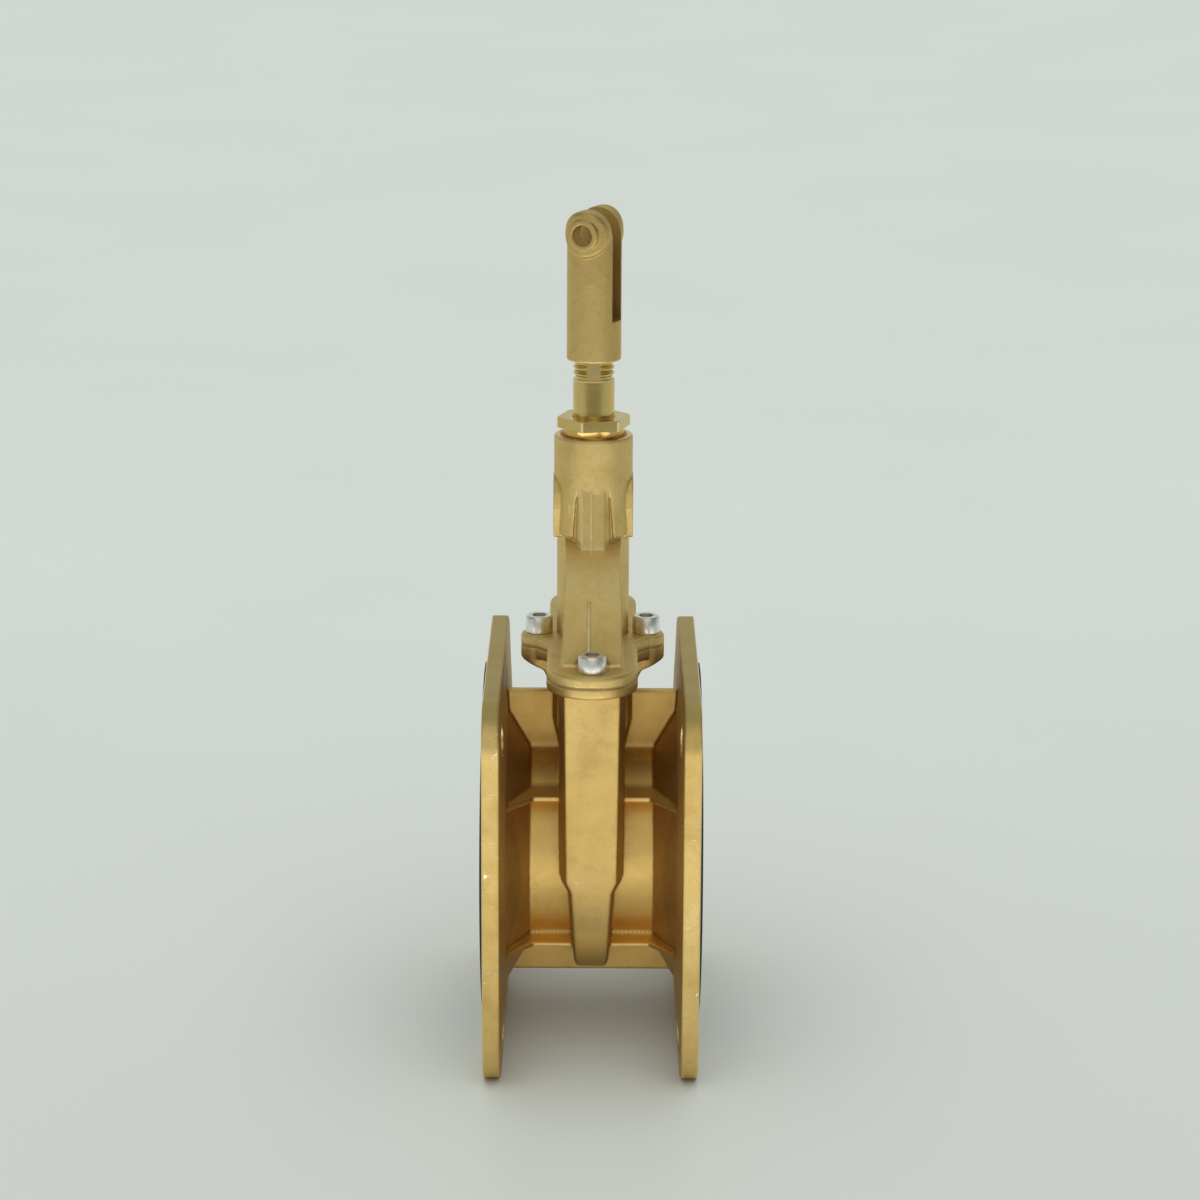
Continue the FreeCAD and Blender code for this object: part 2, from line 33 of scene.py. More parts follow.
# ---------------------------------------------------------------- node helpers
class Tree:
    """A short way to write shader nodes."""

    def __init__(self, name):
        self.mat = bpy.data.materials.new(name)
        self.mat.use_nodes = True
        self.t = self.mat.node_tree
        self.t.nodes.clear()
        self.out = self.t.nodes.new("ShaderNodeOutputMaterial")
        self.bsdf = self.t.nodes.new("ShaderNodeBsdfPrincipled")
        self.t.links.new(self.bsdf.outputs["BSDF"], self.out.inputs["Surface"])
        self.coord = self.t.nodes.new("ShaderNodeTexCoord").outputs["Object"]
        self.xyz = None

    def put(self, sock, value):
        if hasattr(value, "is_output"):
            self.t.links.new(value, sock)
        elif isinstance(value, (tuple, list)) and len(value) == 3 and sock.type == "RGBA":
            sock.default_value = (*value, 1.0)
        else:
            sock.default_value = value

    def noise(self, scale, detail=2.0, rough=0.5, vector=None, stretch=None, distort=0.0):
        n = self.t.nodes.new("ShaderNodeTexNoise")
        v = vector if vector is not None else self.coord
        if stretch is not None:
            m = self.t.nodes.new("ShaderNodeMapping")
            self.t.links.new(v, m.inputs["Vector"])
            m.inputs["Scale"].default_value = stretch
            v = m.outputs["Vector"]
        self.t.links.new(v, n.inputs["Vector"])
        n.inputs["Scale"].default_value = scale
        n.inputs["Detail"].default_value = detail
        n.inputs["Roughness"].default_value = rough
        n.inputs["Distortion"].default_value = distort
        return n.outputs["Fac"]

    def cells(self, scale, feature="F1", randomness=1.0, vector=None):
        n = self.t.nodes.new("ShaderNodeTexVoronoi")
        n.feature = feature
        self.t.links.new(vector if vector is not None else self.coord, n.inputs["Vector"])
        n.inputs["Scale"].default_value = scale
        n.inputs["Randomness"].default_value = randomness
        return n.outputs["Distance"]

    def math(self, op, a, b=0.0, c=0.0, clamp=False):
        n = self.t.nodes.new("ShaderNodeMath")
        n.operation = op
        n.use_clamp = clamp
        for i, v in enumerate((a, b, c)):
            if i < len(n.inputs):
                self.put(n.inputs[i], v)
        return n.outputs[0]

    def ramp(self, value, lo, hi, a=0.0, b=1.0):
        """value from lo..hi mapped smoothly to a..b."""
        n = self.t.nodes.new("ShaderNodeMapRange")
        n.interpolation_type = "SMOOTHSTEP"
        self.put(n.inputs["Value"], value)
        n.inputs["From Min"].default_value = lo
        n.inputs["From Max"].default_value = hi
        n.inputs["To Min"].default_value = a
        n.inputs["To Max"].default_value = b
        return n.outputs["Result"]

    def mix(self, fac, a, b):
        n = self.t.nodes.new("ShaderNodeMix")
        n.data_type = "RGBA"
        self.put(n.inputs[0], fac)
        self.put(n.inputs[6], a)
        self.put(n.inputs[7], b)
        return n.outputs[2]

    def blendf(self, fac, a, b):
        n = self.t.nodes.new("ShaderNodeMix")
        n.data_type = "FLOAT"
        self.put(n.inputs[0], fac)
        self.put(n.inputs[2], a)
        self.put(n.inputs[3], b)
        return n.outputs[0]

    def axes(self):
        if self.xyz is None:
            s = self.t.nodes.new("ShaderNodeSeparateXYZ")
            self.t.links.new(self.coord, s.inputs[0])
            self.xyz = s.outputs
        return self.xyz

    def radius(self, a, b):
        """Distance from a line, given the two coordinates across it."""
        return self.math("SQRT", self.math("ADD", self.math("MULTIPLY", a, a), self.math("MULTIPLY", b, b)))

    def normal_axis(self, axis):
        g = self.t.nodes.new("ShaderNodeNewGeometry")
        tr = self.t.nodes.new("ShaderNodeVectorTransform")
        tr.vector_type = "NORMAL"
        tr.convert_from = "WORLD"
        tr.convert_to = "OBJECT"
        self.t.links.new(g.outputs["Normal"], tr.inputs[0])
        s = self.t.nodes.new("ShaderNodeSeparateXYZ")
        self.t.links.new(tr.outputs[0], s.inputs[0])
        return s.outputs[axis]

    def pointiness(self):
        g = self.t.nodes.new("ShaderNodeNewGeometry")
        return g.outputs["Pointiness"]

    def bump(self, height, strength, distance, base=None):
        n = self.t.nodes.new("ShaderNodeBump")
        n.inputs["Strength"].default_value = strength
        n.inputs["Distance"].default_value = distance
        self.put(n.inputs["Height"], height)
        if base is not None:
            self.t.links.new(base, n.inputs["Normal"])
        return n.outputs["Normal"]

    def surface(self, colour=None, rough=None, normal=None, metallic=None):
        b = self.bsdf.inputs
        if colour is not None:
            self.put(b["Base Color"], colour)
        if rough is not None:
            self.put(b["Roughness"], rough)
        if metallic is not None:
            self.put(b["Metallic"], metallic)
        if normal is not None:
            self.t.links.new(normal, b["Normal"])
        return self.mat


# four tones of a casting: main, light, deep, olive
BODY_TONES = ((0.730, 0.503, 0.176), (0.790, 0.566, 0.218), (0.590, 0.372, 0.110), (0.545, 0.412, 0.160))
CORE_LIGHT_TONE = (0.930, 0.635, 0.215)       # barrel, webs and ribs, painted brighter than the rest: painted light
FORK_TONES = ((0.640, 0.445, 0.150), (0.700, 0.510, 0.200), (0.520, 0.340, 0.100), (0.480, 0.370, 0.140))
TOP_TONES = ((0.735, 0.543, 0.204), (0.795, 0.598, 0.248), (0.585, 0.402, 0.130), (0.545, 0.430, 0.180))
# dark brown painted as shade on recessed and shaded faces
SHADE_BROWN = (0.400, 0.240, 0.078)


def scratches(t, amount=0.5, scale=60, lo=0.62, hi=0.70):
    """Thin random nicks: narrow bands of stretched noise, 0 or 1."""
    n = t.noise(scale, 1, 0.4, stretch=(1.0, 1.0, 9.0))
    line = t.math("MULTIPLY", t.ramp(n, 0.495, 0.5), t.ramp(n, 0.505, 0.5))
    where = t.ramp(t.noise(35, 2, 0.5), lo, hi)
    return t.math("MULTIPLY", t.math("MULTIPLY", line, where), amount)


def cast_brass(name, tones, machined=None, recess_shade=None, knocked=None, core=None, painted_shade=None, bright=None, seam_and_highlight=None,
               tops=None, crease_shade_amount=0.75):
    """Blasted cast brass.

    machined(t): mask of turned or milled areas and the radius for their tool marks.
    recess_shade(t): mask of recessed faces painted dark brown: painted shade.
    knocked(t):  mask of outer edges with bright nicks.
    core(t):     mask of the middle of the body, painted brighter as light.
    painted_shade(t): mask of faces painted dark brown: painted shade, 0..1.
    bright(t):   mask of faces painted brighter, a painted highlight, 0..1.
    seam_and_highlight(t): mask of dressed parting lines painted bright as their highlight, and of painted highlight
    lines and glints, 0..1.
    tops(t):     mask of level faces painted a darker olive grey, a painted reflection, 0..1.
    crease_shade_amount: strength of the painted shade in the concave corners.
    """
    main, light, deep, olive = tones
    t = Tree(name)
    big = t.noise(9, 3, 0.55)
    blotch = t.noise(45, 4, 0.6)
    patch = t.noise(150, 3, 0.6)
    fine = t.noise(650, 3, 0.6)
    speck = t.noise(2100, 2, 0.6)
    colour = t.mix(t.ramp(big, 0.35, 0.65), main, light)
    colour = t.mix(t.math("MULTIPLY", t.ramp(blotch, 0.50, 0.72), 0.45), colour, deep)
    colour = t.mix(t.math("MULTIPLY", t.ramp(patch, 0.50, 0.75), 0.30), colour, olive)
    colour = t.mix(t.math("MULTIPLY", t.ramp(fine, 0.45, 0.75), 0.30), colour, deep)
    # painted light: the middle of the body painted a brighter tone
    if core is not None:
        colour = t.mix(t.math("MULTIPLY", core(t), t.ramp(patch, 0.25, 0.75, 0.90, 0.60)), colour, CORE_LIGHT_TONE)
    # painted shade: recessed faces painted dark brown
    if recess_shade is not None:
        colour = t.mix(t.math("MULTIPLY", recess_shade(t), t.ramp(patch, 0.2, 0.7, 0.70, 0.54)), colour, SHADE_BROWN)
    # painted highlight: faces painted brighter
    if bright is not None:
        colour = t.mix(t.math("MULTIPLY", bright(t), t.ramp(patch, 0.25, 0.75, 0.95, 0.65)), colour, (0.930, 0.710, 0.310))
    # painted shade: faces painted dark brown
    if painted_shade is not None:
        colour = t.mix(t.math("MULTIPLY", painted_shade(t), t.ramp(patch, 0.2, 0.7, 0.95, 0.75)), colour, SHADE_BROWN)
    # painted reflection: level faces painted a darker olive grey
    if tops is not None:
        colour = t.mix(t.math("MULTIPLY", tops(t), t.ramp(patch, 0.2, 0.8, 0.95, 0.80)), colour, (0.540, 0.412, 0.160))
    point = t.pointiness()
    worn = t.math("MULTIPLY", t.ramp(point, 0.515, 0.56), t.ramp(t.noise(120, 3, 0.6), 0.35, 0.6))
    colour = t.mix(t.math("MULTIPLY", worn, 0.55), colour, (0.93, 0.74, 0.38))
    # painted shade: the concave corners painted darker
    crease_shade = t.math("MULTIPLY", t.ramp(point, 0.490, 0.45), t.ramp(t.noise(70, 3, 0.6), 0.20, 0.55))
    colour = t.mix(t.math("MULTIPLY", crease_shade, crease_shade_amount), colour, (0.225, 0.150, 0.062))
    # dressed parting lines, and painted highlight lines and glints, painted bright
    if seam_and_highlight is not None:
        colour = t.mix(t.math("MULTIPLY", seam_and_highlight(t), t.ramp(patch, 0.35, 0.65, 0.55, 1.0)), colour, (1.00, 0.81, 0.43))
    rough = t.ramp(blotch, 0.3, 0.75, 0.48, 0.56)
    rough = t.math("SUBTRACT", rough, t.math("MULTIPLY", worn, 0.12))
    grain = t.math("ADD", t.math("MULTIPLY", fine, 0.7), t.math("MULTIPLY", speck, 0.5))
    normal = t.bump(grain, 0.45, 0.00028)
    normal = t.bump(patch, 0.30, 0.0007, normal)
    if machined is not None:
        mask, rad = machined(t)
        comb = t.t.nodes.new("ShaderNodeCombineXYZ")
        t.put(comb.inputs[0], t.math("MULTIPLY", rad, 2600.0))
        rings = t.noise(1.0, 2, 0.6, vector=comb.outputs[0])
        m_col = t.mix(t.ramp(rings, 0.3, 0.7), (0.80, 0.60, 0.25), (0.90, 0.70, 0.34))
        m_col = t.mix(t.math("MULTIPLY", t.ramp(blotch, 0.5, 0.7), 0.3), m_col, deep)
        colour = t.mix(mask, colour, m_col)
        rough = t.blendf(mask, rough, t.ramp(rings, 0.3, 0.7, 0.24, 0.34))
        flat = t.bump(rings, 0.18, 0.00008)
        n = t.t.nodes.new("ShaderNodeMix")
        n.data_type = "VECTOR"
        t.put(n.inputs[0], mask)
        t.t.links.new(normal, n.inputs[4])
        t.t.links.new(flat, n.inputs[5])
        normal = n.outputs[1]
    colour = t.mix(scratches(t, 0.6), colour, (0.96, 0.82, 0.52))
    if knocked is not None:
        edge = knocked(t)
        nick = t.math("MULTIPLY", edge, scratches(t, 1.0, 85, 0.50, 0.56))
        dent = t.math("MULTIPLY", edge, t.ramp(t.noise(210, 2, 0.5), 0.70, 0.74))
        nick = t.math("MAXIMUM", nick, t.math("MULTIPLY", dent, 0.8))
        colour = t.mix(nick, colour, (0.97, 0.90, 0.70))
        rough = t.math("SUBTRACT", rough, t.math("MULTIPLY", nick, 0.22))
    return t.surface(colour, rough, normal, 1.0)


def body_machined(t):
    x, y, z = t.axes()
    zc = t.math("SUBTRACT", z, AXIS_H)
    r = t.radius(y, zc)
    ax = t.math("ABSOLUTE", x)
    face = t.ramp(ax, 0.0612, 0.0616)
    bore = t.math("MULTIPLY", t.ramp(r, 0.0545, 0.0540), t.ramp(ax, 0.004, 0.005))
    return t.math("MAXIMUM", face, bore), r


def body_recess_shade(t):
    """Flange backs, housing sides and hub cones between the flanges, painted dark brown as shade."""
    x = t.axes()[0]
    side = t.ramp(t.math("ABSOLUTE", t.normal_axis(0)), 0.38, 0.66)
    return t.math("MULTIPLY", side, t.ramp(t.math("ABSOLUTE", x), 0.0560, 0.0535))


# Painted light: the barrel, webs and ribs between the flanges, painted brighter.
def body_core_light(t):
    x, y, z = t.axes()
    inside = t.ramp(t.math("ABSOLUTE", y), 0.0690, 0.0650)
    inside = t.math("MULTIPLY", inside, t.ramp(t.math("ABSOLUTE", x), 0.0500, 0.0480))
    return t.math("MULTIPLY", inside, t.ramp(z, AXIS_H + 0.0960, AXIS_H + 0.0930))


def body_glints(t):
    """A row of painted highlight dots where the barrel meets the lower web, and the rims of the bolt holes painted
    bright: drilled metal with a painted glint.
    """
    x, y, z = t.axes()
    zc = t.math("SUBTRACT", z, AXIS_H)
    m = t.ramp(t.math("ABSOLUTE", t.math("ADD", zc, 0.0427)), 0.0011, 0.0006)
    m = t.math("MULTIPLY", m, t.ramp(t.math("ABSOLUTE", y), 0.0470, 0.0455))
    m = t.math("MULTIPLY", m, t.ramp(t.math("ABSOLUTE", x), 0.0362, 0.0352))
    row = t.ramp(t.math("SINE", t.math("MULTIPLY", x, 2.0 * math.pi / 0.0025)), -0.2, 0.5)
    m = t.math("MULTIPLY", m, t.math("MULTIPLY", row, t.ramp(t.noise(160, 2, 0.5), 0.35, 0.55, 0.20, 0.65)))
    r = t.radius(t.math("SUBTRACT", t.math("ABSOLUTE", y), 0.0900), t.math("SUBTRACT", t.math("ABSOLUTE", zc), 0.0900))
    rim = t.math("MULTIPLY", t.ramp(r, 0.0102, 0.0095), t.ramp(t.math("ABSOLUTE", x), 0.0450, 0.0460))
    return t.math("MAXIMUM", m, t.math("MULTIPLY", rim, t.ramp(t.noise(230, 2, 0.5), 0.42, 0.56)))


def body_knocked(t):
    """Front and back edges of the two flanges."""
    x, y, z = t.axes()
    out = t.ramp(t.math("ABSOLUTE", x), 0.0515, 0.0522)
    return t.math("MULTIPLY", out, t.ramp(t.math("ABSOLUTE", y), 0.1105, 0.1140))


def body_painted_shade(t):
    """Painted shade: top of the upper ribs, the barrel under the upper web, and the lower end of the housing, painted
    dark brown.
    """
    x, y, z = t.axes()
    zc = t.math("SUBTRACT", z, AXIS_H)
    up = t.math("MULTIPLY", t.ramp(zc, 0.0440, 0.0447), t.ramp(zc, 0.0475, 0.0460))
    up = t.math("MULTIPLY", up, t.ramp(t.normal_axis(2), 0.6, 0.9))
    up = t.math("MULTIPLY", up, t.ramp(t.math("ABSOLUTE", x), 0.0500, 0.0470))
    end = t.math("MULTIPLY", t.ramp(zc, -0.0380, -0.0700), t.ramp(t.math("ABSOLUTE", x), 0.0128, 0.0118))
    end = t.math("MULTIPLY", end, t.ramp(t.radius(y, zc), 0.0700, 0.0725))
    end = t.math("MULTIPLY", end, t.ramp(t.math("ABSOLUTE", y), 0.0060, 0.0090))
    pit = t.math("MULTIPLY", t.ramp(zc, 0.0455, 0.0560), t.ramp(zc, 0.0640, 0.0600))
    pit = t.math("MULTIPLY", pit, t.ramp(t.radius(y, zc), 0.0605, 0.0595))
    pit = t.math("MULTIPLY", pit, t.ramp(t.math("ABSOLUTE", x), 0.0400, 0.0370))
    both = t.math("ADD", t.math("MULTIPLY", up, 0.70), t.math("MULTIPLY", end, 0.80))
    return t.math("ADD", both, t.math("MULTIPLY", pit, 0.95))


def body_tops(t):
    """Top faces of the flanges, painted a darker olive grey: a painted reflection."""
    x, y, z = t.axes()
    m = t.math("MULTIPLY", t.ramp(t.normal_axis(2), 0.45, 0.80), t.ramp(t.math("ABSOLUTE", x), 0.0470, 0.0490))
    return t.math("MULTIPLY", m, t.ramp(z, AXIS_H + 0.0700, AXIS_H + 0.0800))


def bonnet_painted_light(t):
    """Upper part of the arch, under the collar, painted brighter: a painted highlight."""
    x, y, z = t.axes()
    m = t.math("MULTIPLY", t.ramp(z, AXIS_H + 0.151, AXIS_H + 0.177), t.ramp(z, AXIS_H + 0.190, AXIS_H + 0.184))
    m = t.math("MULTIPLY", m, t.ramp(t.math("ABSOLUTE", x), 0.0185, 0.0165))
    return t.math("MULTIPLY", m, t.ramp(t.radius(x, y), 0.0225, 0.0260))


def bonnet_painted_shade(t):
    """Painted shade in the round recesses behind the front and back screws and on the arch face above them."""
    x, y, z = t.axes()
    m = t.math("MULTIPLY", t.ramp(z, AXIS_H + 0.1292, AXIS_H + 0.1300), t.ramp(z, AXIS_H + 0.1480, AXIS_H + 0.1320))
    m = t.math("MULTIPLY", m, t.ramp(t.math("ABSOLUTE", x), 0.0165, 0.0060))
    m = t.math("MULTIPLY", m, t.math("MULTIPLY", t.ramp(t.math("ABSOLUTE", y), 0.0700, 0.0720), 0.30))
    foot = t.math("MULTIPLY", t.ramp(z, AXIS_H + 0.1300, AXIS_H + 0.1310), t.ramp(z, AXIS_H + 0.1640, AXIS_H + 0.1440))
    foot = t.math("MULTIPLY", foot, t.ramp(t.math("ABSOLUTE", x), 0.0172, 0.0162))
    foot = t.math("MULTIPLY", foot, t.ramp(t.math("ABSOLUTE", y), 0.0560, 0.0600))
    return t.math("ADD", m, t.math("MULTIPLY", foot, 0.17))


def bonnet_seam_and_highlight(t):
    """The dressed parting line over the arch and the two ribs, a little off the middle, painted bright as its
    highlight; painted highlight lines along the left edge of each rib and round the foot of the arch.
    """
    x, y, z = t.axes()
    d = t.math("ABSOLUTE", t.math("ADD", x, 0.0020))
    m = t.math("MULTIPLY", t.ramp(d, 0.0009, 0.0004), t.ramp(z, AXIS_H + 0.1290, AXIS_H + 0.1300))
    m = t.math("MULTIPLY", m, t.ramp(z, AXIS_H + 0.1650, AXIS_H + 0.1560))
    m = t.math("MULTIPLY", m, t.ramp(t.math("ABSOLUTE", y), 0.0500, 0.0530))
    e = t.math("ABSOLUTE", t.math("ADD", x, 0.0010))
    n = t.math("MULTIPLY", t.ramp(e, 0.0008, 0.0004), t.ramp(z, AXIS_H + 0.1820, AXIS_H + 0.1830))
    n = t.math("MULTIPLY", n, t.ramp(z, AXIS_H + 0.2210, AXIS_H + 0.2150, 0.0, 0.6))
    m = t.math("MAXIMUM", m, t.math("MULTIPLY", n, t.ramp(t.math("ABSOLUTE", y), 0.0200, 0.0210)))
    # painted highlight along the left edge of each rib
    e = t.math("ABSOLUTE", t.math("ADD", x, 0.0069))
    n = t.math("MULTIPLY", t.ramp(e, 0.0012, 0.0006), t.ramp(z, AXIS_H + 0.1850, AXIS_H + 0.1870))
    n = t.math("MULTIPLY", n, t.ramp(z, AXIS_H + 0.2220, AXIS_H + 0.2120, 0.0, 0.65))
    m = t.math("MAXIMUM", m, t.math("MULTIPLY", n, t.ramp(t.math("ABSOLUTE", y), 0.0200, 0.0210)))
    # painted highlight on the concave foot of the arch round the screw
    yy = t.math("SUBTRACT", 0.1095, t.math("ABSOLUTE", y))
    f = t.math("ABSOLUTE", t.math("SUBTRACT", t.radius(x, yy), 0.0332))
    f = t.math("MULTIPLY", t.ramp(f, 0.0010, 0.0005), t.ramp(z, AXIS_H + 0.1322, AXIS_H + 0.1314))
    f = t.math("MULTIPLY", f, t.ramp(z, AXIS_H + 0.1292, AXIS_H + 0.1298))
    g = t.math("MULTIPLY", t.ramp(z, AXIS_H + 0.1314, AXIS_H + 0.1307), t.ramp(z, AXIS_H + 0.1294, AXIS_H + 0.1300))
    g = t.math("MULTIPLY", g, t.ramp(t.normal_axis(2), 0.92, 0.75))
    g = t.math("MULTIPLY", g, t.ramp(t.math("ABSOLUTE", y), 0.0740, 0.0750))
    f = t.math("MAXIMUM", f, t.math("MULTIPLY", g, 0.9))
    return t.math("MAXIMUM", m, t.math("MULTIPLY", f, t.ramp(t.math("ABSOLUTE", x), 0.0170, 0.0160)))


def bonnet_machined(t):
    x, y, z = t.axes()
    top = t.ramp(z, AXIS_H + 0.2474, AXIS_H + 0.2479)
    low = t.ramp(z, AXIS_H + 0.1170, AXIS_H + 0.1166)
    return t.math("MAXIMUM", top, low), t.radius(x, y)


def fork_slot_shade(t):
    """Inside of the fork's slot, painted dark brown as shade, less towards the top."""
    x, y, z = t.axes()
    u = t.math("ADD", t.math("MULTIPLY", x, 0.39073), t.math("MULTIPLY", y, 0.92050))
    m = t.math("MULTIPLY", t.ramp(t.math("ABSOLUTE", u), 0.0072, 0.0067), t.ramp(z, AXIS_H + 0.3145, AXIS_H + 0.3155))
    return t.math("MULTIPLY", m, t.ramp(z, AXIS_H + 0.3740, AXIS_H + 0.3500, 0.30, 1.0))


def fork_machined(t):
    x, y, z = t.axes()
    low = t.ramp(z, AXIS_H + 0.2926, AXIS_H + 0.2922)
    return low, t.radius(x, y)


def turned_brass(name, stretch=2600.0, rough_lo=0.22, rough_hi=0.30, light=(0.74, 0.550, 0.200), dark=(0.66, 0.480, 0.165), polished=None, edges=None):
    """Turned brass: fine tool marks round Z, handling smudges and light scratches.

    polished(t): mask of areas with a bright finish.
    edges(t):    mask of corners and faces painted brighter: a painted highlight.
    """
    t = Tree(name)
    x, y, z = t.axes()
    comb = t.t.nodes.new("ShaderNodeCombineXYZ")
    t.put(comb.inputs[0], t.math("MULTIPLY", z, stretch))
    t.put(comb.inputs[1], t.math("MULTIPLY", t.radius(x, y), stretch))
    rings = t.noise(1.0, 3, 0.65, vector=comb.outputs[0])
    smudge = t.noise(35, 3, 0.55)
    colour = t.mix(t.ramp(rings, 0.3, 0.72), dark, light)
    colour = t.mix(t.math("MULTIPLY", t.ramp(smudge, 0.50, 0.72), 0.30), colour, (0.62, 0.44, 0.16))
    nick = scratches(t, 0.35)
    colour = t.mix(nick, colour, (0.98, 0.86, 0.58))
    rough = t.math("ADD", t.ramp(smudge, 0.3, 0.7, rough_lo, rough_hi), t.ramp(rings, 0.3, 0.7, 0.0, 0.04))
    normal = t.bump(rings, 0.12, 0.00004)
    normal = t.bump(t.noise(90, 2, 0.5), 0.08, 0.0003, normal)
    if polished is not None:
        mask = polished(t)
        colour = t.mix(mask, colour, t.mix(t.ramp(smudge, 0.35, 0.65), (0.72, 0.460, 0.150), (0.60, 0.360, 0.105)))
        rough = t.blendf(mask, rough, t.ramp(smudge, 0.3, 0.7, 0.10, 0.18))
    # painted highlight: corners and faces painted brighter
    if edges is not None:
        mask = edges(t)
        colour = t.mix(mask, colour, (1.0, 0.800, 0.430))
        rough = t.blendf(mask, rough, 0.40)
    return t.surface(colour, rough, normal, 1.0)


def nut_polished(t):
    """The turned shank under the hexagon."""
    return t.ramp(t.axes()[2], AXIS_H + 0.25228, AXIS_H + 0.25210)


def nut_corner_highlight(t):
    """The six corners of the hexagon, painted brighter: a painted highlight."""
    x, y, z = t.axes()
    return t.math("MULTIPLY", t.ramp(t.radius(x, y), 0.02112, 0.02130), t.ramp(z, AXIS_H + 0.25228, AXIS_H + 0.25240))


def stem_flat_highlight(t):
    """The flat along the thread and the chamfer under it, painted brighter: a painted highlight."""
    x, y, z = t.axes()
    flat = t.math("MULTIPLY", t.ramp(y, -0.00985, -0.00995), t.ramp(z, AXIS_H + 0.28145, AXIS_H + 0.28155))
    flat = t.math("MULTIPLY", flat, t.math("MULTIPLY", t.ramp(t.math("ABSOLUTE", x), 0.0041, 0.0039), 0.70))
    collar = t.math("MULTIPLY", t.ramp(z, AXIS_H + 0.27960, AXIS_H + 0.28010), t.ramp(z, AXIS_H + 0.28200, AXIS_H + 0.28150))
    return t.math("MAXIMUM", flat, t.math("MULTIPLY", collar, 0.85))


def stainless(name):
    t = Tree(name)
    smudge = t.noise(240, 4, 0.6)
    grain = t.noise(900, 3, 0.6, stretch=(1.0, 1.0, 4.0))
    colour = t.mix(t.ramp(smudge, 0.35, 0.7), (0.94, 0.91, 0.84), (0.78, 0.75, 0.68))
    colour = t.mix(t.math("MULTIPLY", t.ramp(grain, 0.5, 0.75), 0.35), colour, (0.52, 0.50, 0.46))
    worn = t.ramp(t.pointiness(), 0.52, 0.58)
    colour = t.mix(t.math("MULTIPLY", worn, 0.6), colour, (0.94, 0.93, 0.90))
    rough = t.ramp(smudge, 0.3, 0.7, 0.28, 0.42)
    normal = t.bump(grain, 0.2, 0.00008)
    return t.surface(colour, rough, normal, 1.0)


def rubber(name, base=(0.026, 0.025, 0.024)):
    t = Tree(name)
    dust = t.noise(90, 4, 0.6)
    fine = t.noise(1500, 3, 0.6)
    colour = t.mix(t.math("MULTIPLY", t.ramp(dust, 0.48, 0.75), 0.5), base, (0.055, 0.053, 0.050))
    colour = t.mix(t.math("MULTIPLY", t.ramp(fine, 0.55, 0.8), 0.4), colour, (0.035, 0.035, 0.035))
    rough = t.ramp(dust, 0.3, 0.7, 0.48, 0.70)
    normal = t.bump(fine, 0.3, 0.0001)
    normal = t.bump(t.noise(180, 2, 0.5), 0.2, 0.0004, normal)
    return t.surface(colour, rough, normal, 0.0)


def ptfe(name):
    t = Tree(name)
    stain = t.noise(50, 4, 0.6)
    fine = t.noise(900, 2, 0.5)
    colour = t.mix(t.math("MULTIPLY", t.ramp(stain, 0.5, 0.8), 0.5), (0.78, 0.77, 0.73), (0.60, 0.57, 0.50))
    rough = t.ramp(stain, 0.3, 0.7, 0.34, 0.46)
    normal = t.bump(fine, 0.15, 0.0001)
    return t.surface(colour, rough, normal, 0.0)


def gate_metal(name):
    """Ground stainless plate: fine straight grain, faint rings from sliding."""
    t = Tree(name)
    grain = t.noise(260, 4, 0.65, stretch=(1.0, 0.05, 4.0))
    smudge = t.noise(30, 4, 0.6)
    colour = t.mix(t.ramp(grain, 0.35, 0.7), (0.50, 0.49, 0.47), (0.68, 0.67, 0.65))
    colour = t.mix(t.math("MULTIPLY", t.ramp(smudge, 0.5, 0.75), 0.4), colour, (0.40, 0.38, 0.34))
    rough = t.ramp(grain, 0.3, 0.7, 0.22, 0.36)
    normal = t.bump(grain, 0.2, 0.0001)
    return t.surface(colour, rough, normal, 1.0)


# ---------------------------------------------------------------- assign
M_BODY = cast_brass("body_cast_brass", BODY_TONES, body_machined, body_recess_shade, body_knocked, body_core_light, body_painted_shade,
                    seam_and_highlight=body_glints, tops=body_tops)
M_BONNET = cast_brass("bonnet_cast_brass", TOP_TONES, bonnet_machined, painted_shade=bonnet_painted_shade, bright=bonnet_painted_light,
                      seam_and_highlight=bonnet_seam_and_highlight, crease_shade_amount=0.40)
M_FORK = cast_brass("fork_cast_brass", FORK_TONES, fork_machined, fork_slot_shade)
M_STEM = turned_brass("stem_turned_brass", rough_lo=0.15, rough_hi=0.22, edges=stem_flat_highlight)
M_NUT = turned_brass("nut_machined_brass", 1500.0, 0.17, 0.26, polished=nut_polished, edges=nut_corner_highlight)
M_INNER = turned_brass("inner_machined_brass", 2000.0, 0.20, 0.34)
M_STEEL = stainless("screw_stainless")
M_GATE = gate_metal("gate_stainless")
M_RUBBER = rubber("black_rubber_seal")
M_FIBRE = rubber("joint_fibre", (0.420, 0.300, 0.140))
M_PTFE = ptfe("white_ptfe")

finish = {
    "valve_body": M_BODY, "bonnet": M_BONNET, "fork": M_FORK, "stem": M_STEM, "gland_nut": M_NUT,
    "bonnet_screws": M_STEEL, "gate": M_GATE, "bonnet_gasket": M_FIBRE,
    "left_flange_gasket": M_RUBBER, "right_flange_gasket": M_RUBBER, "edge_seal": M_RUBBER,
    "left_seat_oring": M_RUBBER, "right_seat_oring": M_RUBBER, "stem_oring": M_RUBBER,
    "left_seat_ring": M_PTFE, "right_seat_ring": M_PTFE,
    "packing_ring_lower": M_PTFE, "packing_ring_middle": M_PTFE, "packing_ring_upper": M_PTFE,
    "stem_bush": M_INNER, "packing_washer": M_INNER, "gland_follower": M_INNER,
}
for name, ob in nodes.items():
    ob.data.materials.clear()
    ob.data.materials.append(finish[name])
    for p in ob.data.polygons:
        p.material_index = 0


